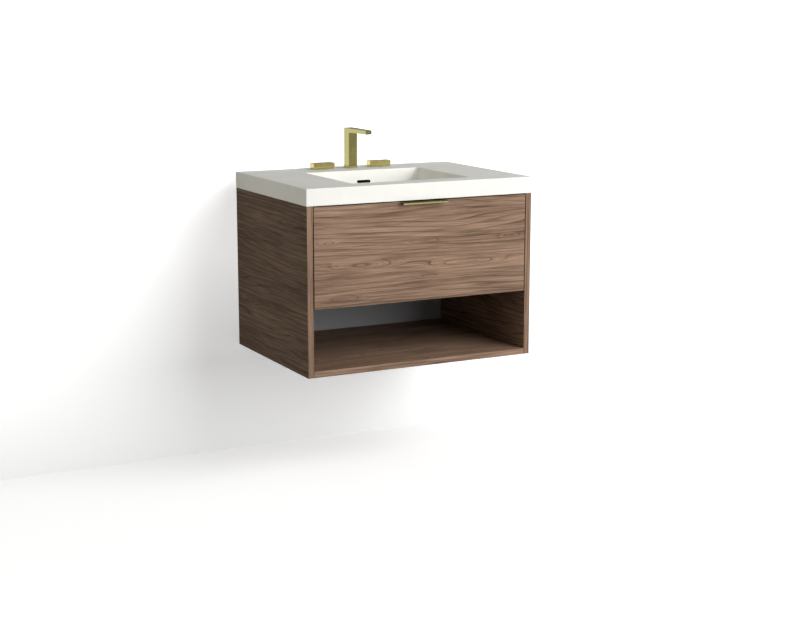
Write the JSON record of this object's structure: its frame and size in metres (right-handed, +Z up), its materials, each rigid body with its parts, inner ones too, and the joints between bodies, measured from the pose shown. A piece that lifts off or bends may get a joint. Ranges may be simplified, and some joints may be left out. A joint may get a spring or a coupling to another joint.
{
  "type": "floating vanity",
  "caption": "Wall-hung bathroom vanity: walnut cabinet with an open shelf bay and one drawer on slides, thick white top with integral basin, brass faucet with two handles.",
  "frame": {"origin": "on the wall face, in the middle of the cabinet's width, at the height of the cabinet's underside", "axes": "+X to the right along the wall as seen from the room, -Y out of the wall into the room, +Z up"},
  "size_m": [0.762, 0.566, 0.6878],
  "materials": {
    "walnut": "satin",
    "back_grey": "matte",
    "birch": "satin",
    "beech": "matte",
    "solid_surface": "satin",
    "brass": "satin",
    "steel": "satin",
    "zinc": "satin",
    "rubber": "matte"
  },
  "bodies": {
    "cabinet": {"side_panel_left": "walnut", "side_panel_right": "walnut", "bottom_panel": "walnut", "deck_panel": "walnut", "back_panel": "back_grey", "upper_hanging_rail": "birch", "lower_hanging_rail": "birch", "front_stretcher": "birch", "carcass_dowels": "beech", "cabinet_rail_left": "steel", "cabinet_rail_right": "steel", "cabinet_rail_screws": "steel", "vanity_top": "solid_surface", "drain_body": "brass", "drain_gasket": "rubber", "drain_nut": "brass", "tailpiece": "brass", "spout": "brass", "spout_base": "brass", "aerator": "steel", "spout_shank": "brass", "faucet_washers": "rubber", "faucet_nuts": "brass", "valve_body_left": "brass", "valve_body_right": "brass", "handle_plinth_left": "brass", "handle_plinth_right": "brass"},
    "drawer": {"drawer_front": "walnut", "edge_pull": "brass", "pull_screws": "brass", "drawer_subfront": "birch", "front_fixing_screws": "steel", "drawer_side_left": "birch", "drawer_side_right": "birch", "drawer_back_left": "birch", "drawer_back_right": "birch", "notch_side_left": "birch", "notch_side_right": "birch", "notch_front": "birch", "drawer_bottom": "birch", "drawer_dowels": "beech", "drawer_rail_left": "steel", "drawer_rail_right": "steel", "drawer_rail_screws": "steel"},
    "slide_middle_left": {"middle_rail_left": "steel"},
    "slide_middle_right": {"middle_rail_right": "steel"},
    "cage_outer_left": {"outer_cage_left": "zinc"},
    "cage_outer_right": {"outer_cage_right": "zinc"},
    "cage_inner_left": {"inner_cage_left": "zinc"},
    "cage_inner_right": {"inner_cage_right": "zinc"},
    "stopper": {"drain_stopper": "brass", "stopper_seal": "rubber"},
    "hot_handle": {"handle_left": "brass", "valve_stem_left": "steel"},
    "cold_handle": {"handle_right": "brass", "valve_stem_right": "steel"}
  },
  "joints": [
    {"name": "drawer_slide", "type": "slide", "parent": "cabinet", "child": "drawer", "axis": [0, -1, 0], "range_m": [0, 0.43]},
    {"name": "slide_middle_left_slide", "type": "slide", "parent": "cabinet", "child": "slide_middle_left", "axis": [0, -1, 0], "range_m": [0, 0.215]},
    {"name": "cage_outer_left_slide", "type": "slide", "parent": "cabinet", "child": "cage_outer_left", "axis": [0, -1, 0], "range_m": [0, 0.1075]},
    {"name": "cage_inner_left_slide", "type": "slide", "parent": "cabinet", "child": "cage_inner_left", "axis": [0, -1, 0], "range_m": [0, 0.3225]},
    {"name": "slide_middle_right_slide", "type": "slide", "parent": "cabinet", "child": "slide_middle_right", "axis": [0, -1, 0], "range_m": [0, 0.215]},
    {"name": "cage_outer_right_slide", "type": "slide", "parent": "cabinet", "child": "cage_outer_right", "axis": [0, -1, 0], "range_m": [0, 0.1075]},
    {"name": "cage_inner_right_slide", "type": "slide", "parent": "cabinet", "child": "cage_inner_right", "axis": [0, -1, 0], "range_m": [0, 0.3225]},
    {"name": "hot_turn", "type": "hinge", "parent": "cabinet", "child": "hot_handle", "pos_m": [-0.1016, -0.048, 0.5631], "axis": [0, 0, 1], "range_deg": [0, 90]},
    {"name": "cold_turn", "type": "hinge", "parent": "cabinet", "child": "cold_handle", "pos_m": [0.1016, -0.048, 0.5631], "axis": [0, 0, 1], "range_deg": [-90, 0]},
    {"name": "stopper_lift", "type": "slide", "parent": "cabinet", "child": "stopper", "axis": [0, 0, 1], "range_m": [0, 0.008]}
  ],
  "couplings": [
    {"joint": "slide_middle_left_slide", "follows": "drawer_slide", "ratio": 0.5},
    {"joint": "cage_outer_left_slide", "follows": "drawer_slide", "ratio": 0.25},
    {"joint": "cage_inner_left_slide", "follows": "drawer_slide", "ratio": 0.75},
    {"joint": "slide_middle_right_slide", "follows": "drawer_slide", "ratio": 0.5},
    {"joint": "cage_outer_right_slide", "follows": "drawer_slide", "ratio": 0.25},
    {"joint": "cage_inner_right_slide", "follows": "drawer_slide", "ratio": 0.75}
  ]
}
